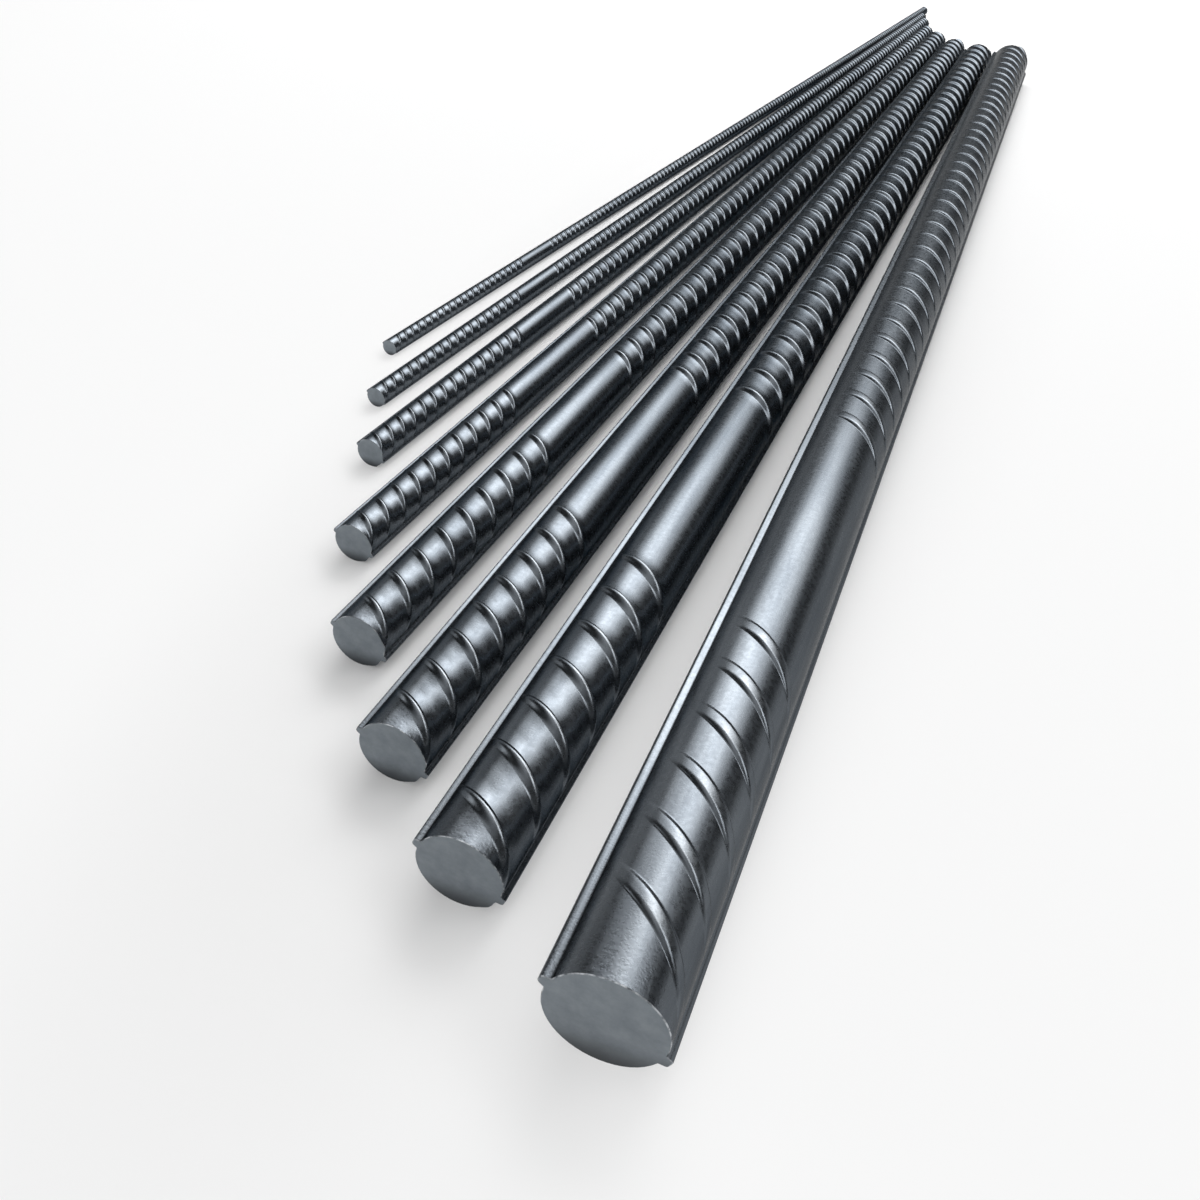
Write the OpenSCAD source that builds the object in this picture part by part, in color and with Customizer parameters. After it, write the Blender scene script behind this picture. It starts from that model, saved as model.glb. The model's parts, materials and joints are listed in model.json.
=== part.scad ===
// Fan of eight loose deformed reinforcing bars, lying on a floor.
// The thickest bar lies in front at the right. Each thinner bar starts further back
// to its left and leans in, so that the far ends lie side by side, rib against rib.
// A bar is one rolled piece: a round core with two long ribs, sawn square at both ends.

/* [Bars] */
// Length that every bar is cut to
bar_length = 1300; // [600:10:3000]
// Turn of the long ribs from level, with the left rib up
rib_roll = 28; // [0:1:60]

/* [Nominal diameters] */
// First bar, in front at the right
size_40 = 40; // [20:1:50]
// Second bar
size_32 = 32; // [20:1:50]
// Third bar
size_28 = 28; // [16:1:50]
// Fourth bar
size_25 = 25; // [16:1:50]
// Fifth bar
size_20 = 20; // [12:1:40]
// Sixth bar
size_16 = 16; // [10:1:40]
// Seventh bar
size_12 = 12; // [8:1:32]
// Eighth bar, at the back on the left
size_10 = 10; // [6:1:32]

/* [Rolled section, in parts of the nominal diameter] */
// Diameter of the core between the ribs
core_share = 0.967; // [0.94:0.001:0.98]
// Height of a long rib above the core
long_rib_height_share = 0.065; // [0.02:0.005:0.1]
// Width of a long rib at its flat crest
long_rib_crest_share = 0.07; // [0.04:0.005:0.12]
// Width of a long rib where it leaves the core
long_rib_root_share = 0.13; // [0.08:0.005:0.2]
// Height of the fine slanting ribs, whose room is kept free between neighbours
slant_rib_height_share = 0.06; // [0:0.005:0.1]

/* [Gap beside each bar's near end to the bar before it] */
// Second bar
gap_32 = 28; // [10:0.5:60]
// Third bar
gap_28 = 19; // [10:0.5:60]
// Fourth bar
gap_25 = 21; // [10:0.5:60]
// Fifth bar
gap_20 = 22; // [10:0.5:60]
// Sixth bar
gap_16 = 24.5; // [10:0.5:60]
// Seventh bar
gap_12 = 22.5; // [10:0.5:60]
// Eighth bar
gap_10 = 22.5; // [10:0.5:60]

/* [Distance that each bar's near end lies behind that of the bar before it] */
// Second bar
stagger_32 = 36.5; // [0:0.5:200]
// Third bar
stagger_28 = 41.5; // [0:0.5:200]
// Fourth bar
stagger_25 = 52.5; // [0:0.5:200]
// Fifth bar
stagger_20 = 63.5; // [0:0.5:200]
// Sixth bar
stagger_16 = 78; // [0:0.5:200]
// Seventh bar
stagger_12 = 58.5; // [0:0.5:200]
// Eighth bar
stagger_10 = 62; // [0:0.5:200]

/* [Far ends] */
// Clearance between the slanting ribs of neighbours where their far ends lie together
far_clearance = 0.3; // [0.1:0.1:10]

/* [Hidden] */
$fn = 96;
mill_scale = [0.36, 0.39, 0.43];

// Bars in order from the right, with the gap and the stagger from the bar before
sizes = [size_40, size_32, size_28, size_25, size_20, size_16, size_12, size_10];
gaps = [0, gap_32, gap_28, gap_25, gap_20, gap_16, gap_12, gap_10];
staggers = [
    0, stagger_32, stagger_28, stagger_25,
    stagger_20, stagger_16, stagger_12, stagger_10,
];
order = [for (bar = [0 : len(sizes) - 1]) bar];

// Section of one bar
function core_radius(bar) = core_share * sizes[bar] / 2;
function long_rib_radius(bar) = core_radius(bar) + long_rib_height_share * sizes[bar];
function slant_rib_radius(bar) = core_radius(bar) + slant_rib_height_share * sizes[bar];

// Sideways distance from the axis of the bar before, at this bar's near end
function near_offset(bar) = core_radius(bar - 1) + gaps[bar] + core_radius(bar);

// The same at the far end of the bar before, where the slanting ribs all but touch
function far_offset(bar) = sqrt(
    pow(slant_rib_radius(bar - 1) + far_clearance + slant_rib_radius(bar), 2)
    - pow(core_radius(bar - 1) - core_radius(bar), 2)
);

// Angle between a bar and the bar before, and its heading from the first bar
function fan(bar) = atan((near_offset(bar) - far_offset(bar)) / (bar_length - staggers[bar]));
function heading(bar) = bar == 0 ? 0 : heading(bar - 1) + fan(bar);

// Plan directions along a bar and to its right
function along(bar) = [sin(heading(bar)), cos(heading(bar))];
function across(bar) = [cos(heading(bar)), -sin(heading(bar))];

// Plan position of the axis at the near end and at the far end
function near_end(bar) = bar == 0
    ? [0, 0]
    : near_end(bar - 1) + staggers[bar] * along(bar - 1) - near_offset(bar) * across(bar - 1);
function far_end(bar) = near_end(bar) + bar_length * along(bar);

// Half width of a bar seen from above, with its rolled ribs
function rib_reach(bar) = long_rib_radius(bar) * cos(rib_roll)
    + long_rib_crest_share * sizes[bar] / 2 * sin(rib_roll);
function half_width(bar) = max(core_radius(bar), rib_reach(bar));

// Plan corners of all bars, and the middle of the box round them
corners = [
    for (bar = order)
        for (end = [near_end(bar), far_end(bar)])
            for (side = [-1, 1])
                end + side * half_width(bar) * across(bar)
];
corners_x = [for (corner = corners) corner.x];
corners_y = [for (corner = corners) corner.y];
middle = [
    (min(corners_x) + max(corners_x)) / 2,
    (min(corners_y) + max(corners_y)) / 2,
];

// Flat-topped long rib that widens to its root inside the core
module long_rib(bar) {
    crest = long_rib_crest_share * sizes[bar] / 2;
    root = long_rib_root_share * sizes[bar] / 2;
    slope = (root - crest) / (long_rib_height_share * sizes[bar]);
    seat = core_radius(bar) / 2;
    base = crest + slope * (long_rib_radius(bar) - seat);
    polygon([
        [seat, -base],
        [long_rib_radius(bar), -crest],
        [long_rib_radius(bar), crest],
        [seat, base],
    ]);
}

// Rolled section: core and two opposite long ribs
module section(bar) {
    circle(r = core_radius(bar));
    for (side = [0, 180])
        rotate(side)
            long_rib(bar);
}

// One bar resting on the floor at its place in the fan
module laid_bar(bar) {
    translate([near_end(bar).x - middle.x, near_end(bar).y - middle.y, core_radius(bar)])
        rotate(-heading(bar))
            translate([0, bar_length, 0])
                rotate([90, 0, 0])
                    linear_extrude(bar_length)
                        rotate(-rib_roll)
                            section(bar);
}

module bar_40mm() {
    color(mill_scale)
        laid_bar(0);
}

module bar_32mm() {
    color(mill_scale)
        laid_bar(1);
}

module bar_28mm() {
    color(mill_scale)
        laid_bar(2);
}

module bar_25mm() {
    color(mill_scale)
        laid_bar(3);
}

module bar_20mm() {
    color(mill_scale)
        laid_bar(4);
}

module bar_16mm() {
    color(mill_scale)
        laid_bar(5);
}

module bar_12mm() {
    color(mill_scale)
        laid_bar(6);
}

module bar_10mm() {
    color(mill_scale)
        laid_bar(7);
}

bar_40mm();
bar_32mm();
bar_28mm();
bar_25mm();
bar_20mm();
bar_16mm();
bar_12mm();
bar_10mm();
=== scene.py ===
import json
import math

import bmesh
import bpy
from mathutils import Matrix, Vector


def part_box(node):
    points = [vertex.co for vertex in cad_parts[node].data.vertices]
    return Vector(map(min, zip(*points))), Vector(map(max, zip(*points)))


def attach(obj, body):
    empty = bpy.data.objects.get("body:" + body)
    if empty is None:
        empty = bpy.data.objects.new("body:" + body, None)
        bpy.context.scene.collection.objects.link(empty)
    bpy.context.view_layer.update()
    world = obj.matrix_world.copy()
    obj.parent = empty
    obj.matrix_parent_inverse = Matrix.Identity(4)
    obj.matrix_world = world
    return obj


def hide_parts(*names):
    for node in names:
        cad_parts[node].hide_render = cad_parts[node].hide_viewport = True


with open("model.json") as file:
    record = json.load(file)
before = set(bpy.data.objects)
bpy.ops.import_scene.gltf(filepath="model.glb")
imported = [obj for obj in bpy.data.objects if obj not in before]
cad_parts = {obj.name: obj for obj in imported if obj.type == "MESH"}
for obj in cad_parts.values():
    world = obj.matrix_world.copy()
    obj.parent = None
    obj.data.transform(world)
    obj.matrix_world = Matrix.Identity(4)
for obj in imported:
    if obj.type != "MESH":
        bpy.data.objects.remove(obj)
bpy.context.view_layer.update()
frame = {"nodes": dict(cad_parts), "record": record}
mounts = {mount["name"]: mount for mount in frame["record"]["mounts"]}
mm = 0.001
weld = 0.001 * mm   # points closer than this are one
print("frame:", len(frame["nodes"]), "bars")


# Node helpers. A Mix node of colours has its sockets by number.
colourMix = {"factor": 0, "first": 6, "second": 7, "result": 2}


def newMaterial(name):
    material = bpy.data.materials.new(name)
    material.use_nodes = True
    nodes = material.node_tree.nodes
    return material, nodes, material.node_tree.links, nodes["Principled BSDF"]


def addNode(nodes, kind, place, **values):
    node = nodes.new(kind)
    node.location = place
    for key, value in values.items():
        if key in node.inputs:
            node.inputs[key].default_value = value
        else:
            setattr(node, key, value)
    return node


def setRamp(ramp, places, colours):
    for element, place, colour in zip(ramp.color_ramp.elements, places, colours):
        element.position = place
        element.color = (*colour, 1)


def setRange(node, before, after=(0, 1)):
    node.inputs["From Min"].default_value, node.inputs["From Max"].default_value = before
    node.inputs["To Min"].default_value, node.inputs["To Max"].default_value = after


# Mill scale, the dark skin of hot-rolled steel. Scales are per metre.
millScale = {
    "dark": (0.100, 0.112, 0.126),
    "light": (0.150, 0.165, 0.181),
    "tinted": (0.32, 0.70),          # span of the streaks' noise from dark to light
    "worn": (0.260, 0.278, 0.296),   # on the crests of the ribs
    "wearFrom": 0.86,                # share of the rib's height where the wear begins
    "roughness": (0.24, 0.32),
    "dulled": (0.3, 0.7),            # span of the dents' noise from smooth to rough
    "streaks": {"scale": (160, 12, 160), "depth": 0.014 * mm},   # drawn out along the bars by the rolls
    "dents": {"scale": 520, "depth": 0.010 * mm},
    "grain": {"scale": 1300, "depth": 0.020 * mm},
    "battered": {"scale": 650, "depth": 0.080 * mm, "reach": 0.3},   # reach from the ends in diameters
}


# The edge tint is how bright the scale stays at a glancing angle. The two copies of the mill scale differ
# only in it: a painted reflection keeps the thickest bar bright there, and painted shade darkens the other
# bars there.
def makeMillScale(name, edgeTint):
    spec = millScale
    material, nodes, links, shader = newMaterial(name)
    coords = addNode(nodes, "ShaderNodeTexCoord", (-1300, 0))
    drawn = addNode(nodes, "ShaderNodeMapping", (-1100, 200), Scale=spec["streaks"]["scale"])
    streaks = addNode(nodes, "ShaderNodeTexNoise", (-900, 200), Scale=1.0, Detail=5.0, Roughness=0.6)
    dents = addNode(nodes, "ShaderNodeTexNoise", (-900, -50), Scale=spec["dents"]["scale"], Detail=2.0)
    grain = addNode(nodes, "ShaderNodeTexNoise", (-900, -300), Scale=spec["grain"]["scale"], Detail=3.0)
    blows = addNode(nodes, "ShaderNodeTexNoise", (-900, -550), Scale=spec["battered"]["scale"], Detail=2.0)
    byEnd = addNode(nodes, "ShaderNodeAttribute", (-900, -800), attribute_name="byEnd")
    relief = addNode(nodes, "ShaderNodeAttribute", (-900, 550), attribute_name="relief")
    links.new(coords.outputs["Object"], drawn.inputs["Vector"])
    links.new(drawn.outputs["Vector"], streaks.inputs["Vector"])
    for noise in (dents, grain, blows):
        links.new(coords.outputs["Object"], noise.inputs["Vector"])

    tint = addNode(nodes, "ShaderNodeValToRGB", (-600, 350))
    setRamp(tint, spec["tinted"], (spec["dark"], spec["light"]))
    crest = addNode(nodes, "ShaderNodeMapRange", (-700, 600))
    setRange(crest, (spec["wearFrom"], 1))
    rubbed = addNode(nodes, "ShaderNodeMath", (-500, 600), operation="MULTIPLY")
    wear = addNode(nodes, "ShaderNodeMix", (-250, 400), data_type="RGBA")
    wear.inputs[colourMix["second"]].default_value = (*spec["worn"], 1)
    links.new(streaks.outputs["Fac"], tint.inputs["Fac"])
    links.new(relief.outputs["Fac"], crest.inputs["Value"])
    links.new(crest.outputs["Result"], rubbed.inputs[0])
    links.new(grain.outputs["Fac"], rubbed.inputs[1])
    links.new(rubbed.outputs[0], wear.inputs[colourMix["factor"]])
    links.new(tint.outputs["Color"], wear.inputs[colourMix["first"]])
    links.new(wear.outputs[colourMix["result"]], shader.inputs["Base Color"])

    dull = addNode(nodes, "ShaderNodeMapRange", (-600, 0))
    setRange(dull, spec["dulled"], spec["roughness"])
    links.new(dents.outputs["Fac"], dull.inputs["Value"])
    links.new(dull.outputs["Result"], shader.inputs["Roughness"])

    below = None
    layers = ((streaks, "streaks"), (dents, "dents"), (grain, "grain"), (blows, "battered"))
    for place, (noise, layer) in enumerate(layers):
        bump = addNode(nodes, "ShaderNodeBump", (-450 + 150 * place, -300), Distance=spec[layer]["depth"])
        links.new(noise.outputs["Fac"], bump.inputs["Height"])
        if below:
            links.new(below.outputs["Normal"], bump.inputs["Normal"])
        below = bump
    links.new(byEnd.outputs["Fac"], below.inputs["Strength"])
    links.new(below.outputs["Normal"], shader.inputs["Normal"])
    shader.inputs["Metallic"].default_value = 1
    shader.inputs["Specular Tint"].default_value = (edgeTint, edgeTint, edgeTint, 1)
    return material


# Sawn steel on the cut ends, mottled, with faint level saw lines and painted shade that darkens it towards
# the floor.
# Its UV counts nominal diameters from the axis.
sawnSteel = {
    "dark": (0.172, 0.198, 0.222),
    "light": (0.246, 0.280, 0.308),
    "tinted": (0.30, 0.70),
    # painted shade near the floor: its colour, and the heights in diameters where it is full and where it
    # ends
    "shadeColour": (0.034, 0.040, 0.046),
    "shadeHeight": (-0.50, -0.12),   # where it is full and where it ends
    "mottle": 170,
    "saw": {"scale": (90, 90, 900), "depth": 0.010 * mm},
    "roughness": 0.5,
    "metallic": 0.3,
}


def makeSawnSteel():
    spec = sawnSteel
    material, nodes, links, shader = newMaterial("sawnSteel")
    coords = addNode(nodes, "ShaderNodeTexCoord", (-1100, 0))
    drawn = addNode(nodes, "ShaderNodeMapping", (-900, -200), Scale=spec["saw"]["scale"])
    lines = addNode(nodes, "ShaderNodeTexNoise", (-700, -200), Scale=1.0, Detail=4.0)
    mottle = addNode(nodes, "ShaderNodeTexNoise", (-700, 100), Scale=spec["mottle"], Detail=6.0,
                     Roughness=0.65)
    tint = addNode(nodes, "ShaderNodeValToRGB", (-450, 100))
    setRamp(tint, spec["tinted"], (spec["dark"], spec["light"]))
    cut = addNode(nodes, "ShaderNodeUVMap", (-900, 400), uv_map="cut")
    parts = addNode(nodes, "ShaderNodeSeparateXYZ", (-700, 400))
    # painted shade: the cut end grows darker towards the floor
    low = addNode(nodes, "ShaderNodeMapRange", (-500, 400), interpolation_type="SMOOTHSTEP")
    setRange(low, spec["shadeHeight"])
    shadedFace = addNode(nodes, "ShaderNodeMix", (-150, 200), data_type="RGBA")
    shadedFace.inputs[colourMix["first"]].default_value = (*spec["shadeColour"], 1)
    bump = addNode(nodes, "ShaderNodeBump", (-250, -200), Distance=spec["saw"]["depth"])
    links.new(coords.outputs["Object"], drawn.inputs["Vector"])
    links.new(drawn.outputs["Vector"], lines.inputs["Vector"])
    links.new(coords.outputs["Object"], mottle.inputs["Vector"])
    links.new(mottle.outputs["Fac"], tint.inputs["Fac"])
    links.new(cut.outputs["UV"], parts.inputs["Vector"])
    links.new(parts.outputs["Y"], low.inputs["Value"])
    links.new(low.outputs["Result"], shadedFace.inputs[colourMix["factor"]])
    links.new(tint.outputs["Color"], shadedFace.inputs[colourMix["second"]])
    links.new(shadedFace.outputs[colourMix["result"]], shader.inputs["Base Color"])
    links.new(lines.outputs["Fac"], bump.inputs["Height"])
    links.new(bump.outputs["Normal"], shader.inputs["Normal"])
    shader.inputs["Roughness"].default_value = spec["roughness"]
    shader.inputs["Metallic"].default_value = spec["metallic"]
    return material


# Rim of the cut ends, bright in nicks where the scale has broken off
sawnRim = {
    "scale": 420,
    "dark": (0.110, 0.122, 0.135),
    "bright": (0.480, 0.505, 0.530),
    "tinted": (0.42, 0.62),
    "roughness": 0.36,
    "depth": 0.060 * mm,
}


def makeSawnRim():
    spec = sawnRim
    material, nodes, links, shader = newMaterial("sawnRim")
    coords = addNode(nodes, "ShaderNodeTexCoord", (-900, 0))
    nicks = addNode(nodes, "ShaderNodeTexNoise", (-700, 0), Scale=spec["scale"], Detail=4.0, Roughness=0.6)
    tint = addNode(nodes, "ShaderNodeValToRGB", (-450, 100))
    setRamp(tint, spec["tinted"], (spec["dark"], spec["bright"]))
    bump = addNode(nodes, "ShaderNodeBump", (-250, -200), Distance=spec["depth"])
    links.new(coords.outputs["Object"], nicks.inputs["Vector"])
    links.new(nicks.outputs["Fac"], tint.inputs["Fac"])
    links.new(nicks.outputs["Fac"], bump.inputs["Height"])
    links.new(tint.outputs["Color"], shader.inputs["Base Color"])
    links.new(bump.outputs["Normal"], shader.inputs["Normal"])
    shader.inputs["Roughness"].default_value = spec["roughness"]
    shader.inputs["Metallic"].default_value = 1
    return material


# Lit and shaded copies of one mill scale: painted shade on the glancing flanks of the thinner bars, a
# painted reflection on those of the thickest bar
shadedScale = makeMillScale("shadedScale", edgeTint=0.22)
litScale = makeMillScale("litScale", edgeTint=0.44)
sawnFace = makeSawnSteel()
nickedRim = makeSawnRim()
print("materials: mill scale, sawn steel, sawn rim")


# Rolled section shared by all bars, lengths in parts of the nominal diameter
section = {
    "core": 0.967,           # diameter of the core, as in the solids
    "roll": 28,              # degrees that the long ribs are turned from level, left one up
    "longHeight": 0.065,
    "longCrest": 0.034,      # half width of the flat top
    "longRoot": 0.066,       # half width at the core
    "sawChamfer": 0.008,
}
upperMiddle = 90 - section["roll"]   # degrees, half way between the long ribs on the upper side
longTop = math.degrees(section["longCrest"] / (section["core"] / 2 + section["longHeight"]))
longFoot = math.degrees(section["longRoot"] / (section["core"] / 2))

# Crescent rib, the usual one. The profile runs along the bar as (place, share of the height),
# and its flanks are filleted at both ends.
crescent = {
    "height": 0.053,
    "nearFlank": "filleted",
    "profile": [(-0.135, 0), (-0.010, 1), (0.014, 1), (0.084, 0)],
    "slant": 58,             # degrees from the axis
    "peak": 0,               # degrees from its middle to where it is fullest, to the left
    "reach": (80, 80),       # degrees round the bar from there, to the right and to the left
    "power": (2, 2),         # how square it runs out at each side
    "narrowed": 0.4,         # share of its width where it runs out
}

# Broad rib of the thickest bar, with a sloping top and a near flank that is full and round above
broadRib = {
    "height": 0.025,
    "nearFlank": "full",
    "fullness": 2.6,
    "profile": [(-0.072, 0), (-0.060, 0), (0.010, 1), (0.060, 0.99), (0.098, 0.96), (0.156, 0), (0.168, 0)],
    "slant": 51,
    "peak": 14,
    "reach": (72, 44),
    "power": (2.2, 1.5),
    "narrowed": 0.75,
}

# Bars from the right. Lengths are in mm from the near end: the first rib, the pitch, how many ribs
# come before the plain stretch, and the first rib after it. Fine is the steps on a rib's flank.
# Skins: the thickest bar has the lit copy of the mill scale, the others have the shaded copy.
bars = [
    {"size": 40, "rib": broadRib, "skin": litScale,
     "first": 21.0, "pitch": 26.1, "before": 6, "second": 334.0, "fine": 8},
    {"size": 32, "rib": crescent, "skin": shadedScale,
     "first": 12.0, "pitch": 24.4, "before": 7, "second": 330.0, "fine": 8},
    {"size": 28, "rib": crescent, "skin": shadedScale,
     "first": 10.5, "pitch": 19.8, "before": 8, "second": 309.0, "fine": 6},
    {"size": 25, "rib": crescent, "skin": shadedScale,
     "first": 8.8, "pitch": 18.9, "before": 9, "second": 271.0, "fine": 6},
    {"size": 20, "rib": crescent, "skin": shadedScale,
     "first": 7.0, "pitch": 14.0, "before": 11, "second": 257.0, "fine": 5},
    {"size": 16, "rib": crescent, "skin": shadedScale,
     "first": 4.0, "pitch": 10.75, "before": 15, "second": 230.0, "fine": 4},
    {"size": 12, "rib": crescent, "skin": shadedScale,
     "first": 6.5, "pitch": 8.5, "before": 19, "second": 215.5, "fine": 3},
    {"size": 10, "rib": crescent, "skin": shadedScale,
     "first": 7.8, "pitch": 7.1, "before": 22, "second": 203.0, "fine": 3},
]
nearBox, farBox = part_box("bar_40mm")
barLength = farBox.y - nearBox.y

# Grid that a bar is rolled from. It runs past both ends, where it is sawn off.
grid = {
    "pastNear": 1.5,         # diameters
    "pastFar": 2,
    "plainRows": 4,          # to a pitch
    "flankColumns": 4,       # on a flank of a long rib
    "thinColumns": 2,        # the same on a thin bar
    "thinSize": 18,          # mm
    "besideFoot": 1.12,      # last column of a long rib, in parts of its half width
    "plainColumns": 10,      # between the long ribs at least, and more by the next two on thicker bars
    "columnScale": 2,
    "columnPower": 0.65,
}


def ease(x):
    x = min(max(x, 0), 1)
    return x * x * (3 - 2 * x)


def ribCentres(bar):
    centres = [bar["first"] + bar["pitch"] * k for k in range(bar["before"])]
    end = barLength / mm + grid["pastFar"] * bar["size"]
    while bar["second"] + bar["pitch"] * (len(centres) - bar["before"]) < end:
        centres.append(bar["second"] + bar["pitch"] * (len(centres) - bar["before"]))
    return [centre * mm for centre in centres]


# A row of points round the bar: (place of its rib, place on the rib, share of the rib's height)
def rowsAlong(bar):
    rib, size = bar["rib"], bar["size"] * mm
    profile = [(rib["profile"][0][0] * size, 0)]
    for (place, share), (nextPlace, nextShare) in zip(rib["profile"], rib["profile"][1:]):
        steps = max(1, round(bar["fine"] * abs(nextShare - share)))
        full = rib["nearFlank"] == "full" and nextShare > share
        for k in range(1, steps + 1):
            blend = 1 - (1 - k / steps) ** rib["fullness"] if full else ease(k / steps)
            along = (place + (nextPlace - place) * k / steps) * size
            profile.append((along, share + (nextShare - share) * blend))
    rows = []
    last = -grid["pastNear"] * size
    plainStep = bar["pitch"] * mm / grid["plainRows"]
    for centre in ribCentres(bar):
        start = centre + profile[0][0]
        gaps = max(1, round((start - last) / plainStep))
        rows += [(last + (start - last) * k / gaps, 0, 0) for k in range(gaps)]
        rows += [(centre, place, share) for place, share in profile]
        last = centre + profile[-1][0] + plainStep
    return rows


# Angles of the points round the section, closer on the long ribs
def anglesRound(bar):
    size = bar["size"]
    steps = grid["flankColumns"] if size > grid["thinSize"] else grid["thinColumns"]
    side = [longTop + (longFoot - longTop) * k / steps for k in range(steps + 1)]
    side.append(grid["besideFoot"] * longFoot)
    plain = max(grid["plainColumns"], round(grid["columnScale"] * size ** grid["columnPower"]))
    angles = []
    for centre in (upperMiddle - 90, upperMiddle + 90):
        around = [-angle for angle in reversed(side)] + [0] + side
        angles += [centre + angle for angle in around]
        span = 180 - 2 * side[-1]
        angles += [centre + side[-1] + span * k / plain for k in range(1, plain)]
    return angles + [angles[0] + 360]


def longRibHeight(bar, angle):
    away = abs((angle - upperMiddle) % 180 - 90)
    return section["longHeight"] * bar["size"] * mm * ease((longFoot - away) / (longFoot - longTop))


def pick(items, kind):
    return [item for item in items if isinstance(item, kind)]


# Saw a bar off at its end, chamfer the cut and close it
slots = {"face": 1, "rim": 2}   # of the materials, after the skin


def sawEnd(bm, size, end, outward, cut):
    chamfer = section["sawChamfer"] * size
    sawn = bmesh.ops.bisect_plane(
        bm, geom=bm.verts[:] + bm.edges[:] + bm.faces[:], dist=weld,
        plane_co=(0, end - outward * chamfer, 0), plane_no=(0, outward, 0), clear_outer=True)
    rim = pick(sawn["geom_cut"], bmesh.types.BMEdge)
    skirt = bmesh.ops.extrude_edge_only(bm, edges=rim)["geom"]
    moved = pick(skirt, bmesh.types.BMVert)
    lip = [edge for edge in pick(skirt, bmesh.types.BMEdge) if edge.is_boundary]
    shrink = 1 - chamfer / (section["core"] * size / 2)
    bmesh.ops.scale(bm, verts=moved, vec=(shrink, 1, shrink))
    bmesh.ops.translate(bm, verts=moved, vec=(0, outward * chamfer, 0))
    for face in pick(skirt, bmesh.types.BMFace):
        face.material_index = slots["rim"]
    for face in bmesh.ops.holes_fill(bm, edges=lip, sides=0)["faces"]:
        face.smooth = False
        face.material_index = slots["face"]
        for loop in face.loops:
            loop[cut].uv = (loop.vert.co.x / size, loop.vert.co.z / size)
    for edge in rim + lip:
        edge.smooth = False


# One bar, rolled from a flat grid, sawn at both ends and laid where its node lies
def rollBar(bar):
    name = "bar_%dmm" % bar["size"]
    rib, size = bar["rib"], bar["size"] * mm
    core = section["core"] * size / 2
    rows = rowsAlong(bar)
    angles = anglesRound(bar)
    lean = core / math.tan(math.radians(rib["slant"]))
    mount = mounts[name + "_near_end"]
    floorLevel = -mount["pos_m"][2]   # below the axis
    bm = bmesh.new()
    bmesh.ops.create_grid(bm, x_segments=len(angles) - 1, y_segments=len(rows) - 1, size=1)
    relief = bm.verts.layers.float.new("relief")
    byEnd = bm.verts.layers.float.new("byEnd")
    cut = bm.loops.layers.uv.new("cut")
    for vert in bm.verts:
        angle = angles[round((vert.co.x + 1) / 2 * (len(angles) - 1))]
        centre, place, share = rows[round((vert.co.y + 1) / 2 * (len(rows) - 1))]
        turn = (angle - upperMiddle + 90) % 360 - 90
        turn = turn if turn <= 90 else 180 - turn   # mirrored underneath
        away = turn - rib["peak"]
        side = 1 if away > 0 else 0
        swell = max(0, 1 - (abs(away) / rib["reach"][side]) ** rib["power"][side])
        rise = rib["height"] * size * share * swell
        radius = core + longRibHeight(bar, angle) + rise
        width = rib["narrowed"] + (1 - rib["narrowed"]) * swell
        along = centre + place * width + lean * math.radians(turn)
        toEnd = max(0, min(along, barLength - along))
        vert[relief] = share * swell
        vert[byEnd] = math.exp(-toEnd / (millScale["battered"]["reach"] * size))
        # ribs underneath stop at the floor
        height = max(radius * math.sin(math.radians(angle)), floorLevel)
        vert.co = (radius * math.cos(math.radians(angle)), along, height)
    bmesh.ops.remove_doubles(bm, verts=bm.verts, dist=weld)
    for face in bm.faces:
        face.smooth = True
    sawEnd(bm, size, 0, -1, cut)
    sawEnd(bm, size, barLength, 1, cut)
    bmesh.ops.recalc_face_normals(bm, faces=bm.faces)
    forward = -Vector(mount["axis"])
    right = Vector((forward.y, -forward.x, 0))
    turned = Matrix((right, forward, Vector((0, 0, 1)))).transposed().to_4x4()
    bmesh.ops.transform(bm, matrix=Matrix.Translation(mount["pos_m"]) @ turned, verts=bm.verts)
    mesh = bpy.data.meshes.new(name + "_rolled")
    bm.to_mesh(mesh)
    bm.free()
    for material in (bar["skin"], sawnFace, nickedRim):
        mesh.materials.append(material)
    piece = bpy.data.objects.new(name + "_rolled", mesh)
    bpy.context.collection.objects.link(piece)
    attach(piece, "root")
    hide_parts(name)
    triangles = sum(len(face.vertices) - 2 for face in mesh.polygons)
    print("rolled", name, len(rows), "rows,", len(angles) - 1, "columns,", triangles, "triangles")
    return triangles


print("ribbed bars:", sum(rollBar(bar) for bar in bars), "triangles in all")


# Floor. Its own glow lifts it to white where the camera and the steel see it, except in an oval round the
# bars, where the glow is left out as painted shade round and between the bars, and the shadow stays.
# Its edge turns up all round, and into a wall beside and behind the camera.
floorSpec = {
    "radius": 12.0,
    "sides": 96,
    "cove": 1.5,
    "coveSteps": 8,
    "lip": 0.02,                      # least height of the wall
    "wall": 4.0,
    "wallFrom": 0.45,                 # share of the radius, towards the back, where the wall begins
    "colour": (0.78, 0.78, 0.78),
    "roughness": 0.9,
    "glow": 0.68,
    # painted shade: an oval round and between the bars is left darker, without the glow
    "shadeMiddle": (0.03, 0.05, 0),   # oval round the bars that has no glow
    "shadeReach": (0.15, 0.80, 1),
    "shadeEdge": (0.8, 1.5),          # where the glow begins and is full, in parts of the reach
}


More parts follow.
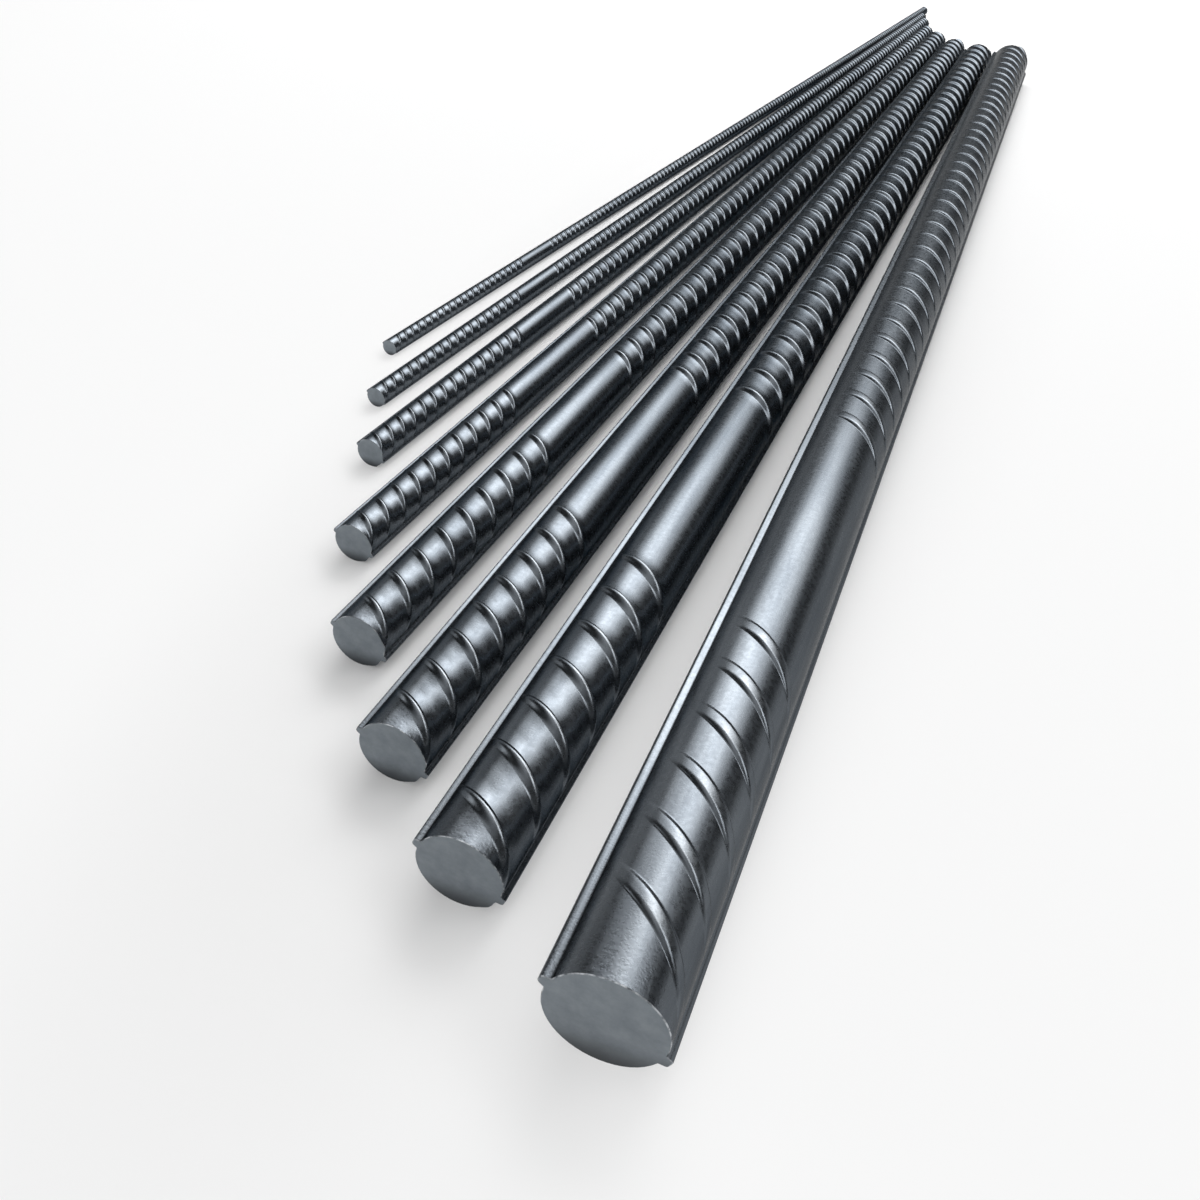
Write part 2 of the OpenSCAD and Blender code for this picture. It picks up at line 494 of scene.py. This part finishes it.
def makePaleFloor():
    material, nodes, links, shader = newMaterial("paleFloor")
    shader.inputs["Base Color"].default_value = (*floorSpec["colour"], 1)
    shader.inputs["Roughness"].default_value = floorSpec["roughness"]
    shader.inputs["Specular IOR Level"].default_value = 0
    coords = addNode(nodes, "ShaderNodeTexCoord", (-900, 700))
    # painted shade round and between the bars, where the glow is left out
    oval = addNode(nodes, "ShaderNodeMapping", (-700, 700), vector_type="TEXTURE",
                   Location=floorSpec["shadeMiddle"], Scale=floorSpec["shadeReach"])
    away = addNode(nodes, "ShaderNodeVectorMath", (-500, 700), operation="LENGTH")
    glow = addNode(nodes, "ShaderNodeMapRange", (-300, 700), interpolation_type="SMOOTHSTEP")
    setRange(glow, floorSpec["shadeEdge"], (0, floorSpec["glow"]))
    path = addNode(nodes, "ShaderNodeLightPath", (-400, 400))
    metal = addNode(nodes, "ShaderNodeMath", (-300, 300), operation="MAXIMUM")
    seen = addNode(nodes, "ShaderNodeMath", (-150, 400), operation="MAXIMUM")
    share = addNode(nodes, "ShaderNodeMath", (0, 400), operation="MULTIPLY")
    white = addNode(nodes, "ShaderNodeEmission", (0, 200), Strength=1.0)
    mixed = addNode(nodes, "ShaderNodeMixShader", (300, 200))
    links.new(coords.outputs["Object"], oval.inputs["Vector"])
    links.new(oval.outputs["Vector"], away.inputs[0])
    links.new(away.outputs["Value"], glow.inputs["Value"])
    links.new(path.outputs["Is Glossy Ray"], metal.inputs[0])
    links.new(path.outputs["Is Transmission Ray"], metal.inputs[1])
    links.new(path.outputs["Is Camera Ray"], seen.inputs[0])
    links.new(metal.outputs[0], seen.inputs[1])
    links.new(seen.outputs[0], share.inputs[0])
    links.new(glow.outputs["Result"], share.inputs[1])
    links.new(share.outputs[0], mixed.inputs["Fac"])
    links.new(shader.outputs["BSDF"], mixed.inputs[1])
    links.new(white.outputs["Emission"], mixed.inputs[2])
    links.new(mixed.outputs["Shader"], nodes["Material Output"].inputs["Surface"])
    return material


def layFloor():
    radius, cove, steps = floorSpec["radius"], floorSpec["cove"], floorSpec["coveSteps"]
    bm = bmesh.new()
    bmesh.ops.create_circle(bm, cap_ends=True, segments=floorSpec["sides"], radius=radius)
    outer = list(bm.edges)
    reached = radius
    for k in range(1, steps + 1):   # the edge turns up in a quarter round
        bend = math.radians(90 * k / steps)
        raised = bmesh.ops.extrude_edge_only(bm, edges=outer)["geom"]
        corners = pick(raised, bmesh.types.BMVert)
        outer = [edge for edge in pick(raised, bmesh.types.BMEdge) if edge.is_boundary]
        wider = radius + cove * math.sin(bend)
        bmesh.ops.scale(bm, verts=corners, vec=(wider / reached, wider / reached, 1))
        for corner in corners:
            corner.co.z = cove * (1 - math.cos(bend))
        reached = wider
    raised = bmesh.ops.extrude_edge_only(bm, edges=outer)["geom"]
    for corner in pick(raised, bmesh.types.BMVert):
        wall = floorSpec["wall"] * ease(1 - corner.co.y / (floorSpec["wallFrom"] * reached))
        corner.co.z += floorSpec["lip"] + wall
    for face in bm.faces:
        face.smooth = True
    bmesh.ops.recalc_face_normals(bm, faces=bm.faces)
    mesh = bpy.data.meshes.new("floor")
    bm.to_mesh(mesh)
    bm.free()
    mesh.materials.append(makePaleFloor())
    floor = bpy.data.objects.new("floor", mesh)
    bpy.context.collection.objects.link(floor)


layFloor()


# Soft studio light. Angles are degrees: azimuth from +Y to the right, elevation from the floor,
# and half of what each softbox covers, from its core to its outer edge. The level is its
# brightness in the core against white, built up in layers so that it falls off outwards.
softboxes = [
    {"name": "back", "azimuth": -4, "elevation": 45, "distance": 2.9,
     "core": (5, 4), "outer": (38, 17), "layers": 6, "level": 8.8},
    {"name": "upper", "azimuth": 30, "elevation": 60, "distance": 2.9,
     "core": (12, 5), "outer": (34, 10), "layers": 3, "level": 5.4},
    {"name": "overhead", "azimuth": 0, "elevation": 94, "distance": 4.0,
     "core": (12, 22), "outer": (26, 34), "layers": 2, "level": 1.1},
    {"name": "right", "azimuth": 78, "elevation": 46, "distance": 6.0,
     "core": (10, 8), "outer": (18, 13), "layers": 2, "level": 4.6},
    {"name": "left", "azimuth": -46, "elevation": 15, "distance": 6.0,
     "core": (10, 8), "outer": (22, 12), "layers": 2, "level": 0.85},
    {"name": "side", "azimuth": -100, "elevation": 19, "distance": 6.0,
     "core": (8, 6), "outer": (16, 10), "layers": 2, "level": 2.0},
    {"name": "front", "azimuth": 190, "elevation": 34, "distance": 6.0,
     "core": (8, 5), "outer": (40, 18), "layers": 5, "level": 2.2},
]
layerGap = 0.1   # layers hang apart, each seen through the one before
worldGrey = 0.05


def hangSoftboxes():
    for spec in softboxes:
        azimuth, elevation = math.radians(spec["azimuth"]), math.radians(spec["elevation"])
        towards = Vector((math.sin(azimuth) * math.cos(elevation), math.cos(azimuth) * math.cos(elevation),
                          math.sin(elevation)))
        for layer in range(spec["layers"]):
            lamp = bpy.data.lights.new("%s_%d" % (spec["name"], layer), "AREA")
            lamp.shape = "ELLIPSE"
            distance = spec["distance"] + layerGap * layer
            share = layer / (spec["layers"] - 1)
            spans = zip(spec["core"], spec["outer"])
            halfWidth, halfHeight = (core + (outer - core) * share for core, outer in spans)
            lamp.size = 2 * distance * math.tan(math.radians(halfWidth))
            lamp.size_y = 2 * distance * math.tan(math.radians(halfHeight))
            area = math.pi / 4 * lamp.size * lamp.size_y
            lamp.energy = spec["level"] / spec["layers"] * math.pi * area
            holder = bpy.data.objects.new(lamp.name, lamp)
            holder.visible_camera = False
            holder.location = towards * distance
            holder.rotation_euler = towards.to_track_quat("Z", "Y").to_euler()
            bpy.context.collection.objects.link(holder)
    world = bpy.data.worlds.new("studio")
    world.use_nodes = True
    world.node_tree.nodes["Background"].inputs["Color"].default_value = (worldGrey, worldGrey, worldGrey, 1)
    bpy.context.scene.world = world


hangSoftboxes()


# Camera
cameraSpec = {
    "place": (0.2040, -1.0278, 0.3013),
    "yaw": 20.55,
    "pitch": -36.0,
    "lens": 35,
    "sensor": 36,
    "nearest": 0.01,
}


def placeCamera():
    camera = bpy.data.cameras.new("camera")
    camera.lens = cameraSpec["lens"]
    camera.sensor_width = cameraSpec["sensor"]
    camera.clip_start = cameraSpec["nearest"]
    holder = bpy.data.objects.new("camera", camera)
    holder.location = cameraSpec["place"]
    holder.rotation_euler = (math.radians(90 + cameraSpec["pitch"]), 0, math.radians(cameraSpec["yaw"]))
    bpy.context.collection.objects.link(holder)
    bpy.context.scene.camera = holder


placeCamera()
bpy.context.scene.view_settings.view_transform = "Standard"
print("floor, lights and camera set")
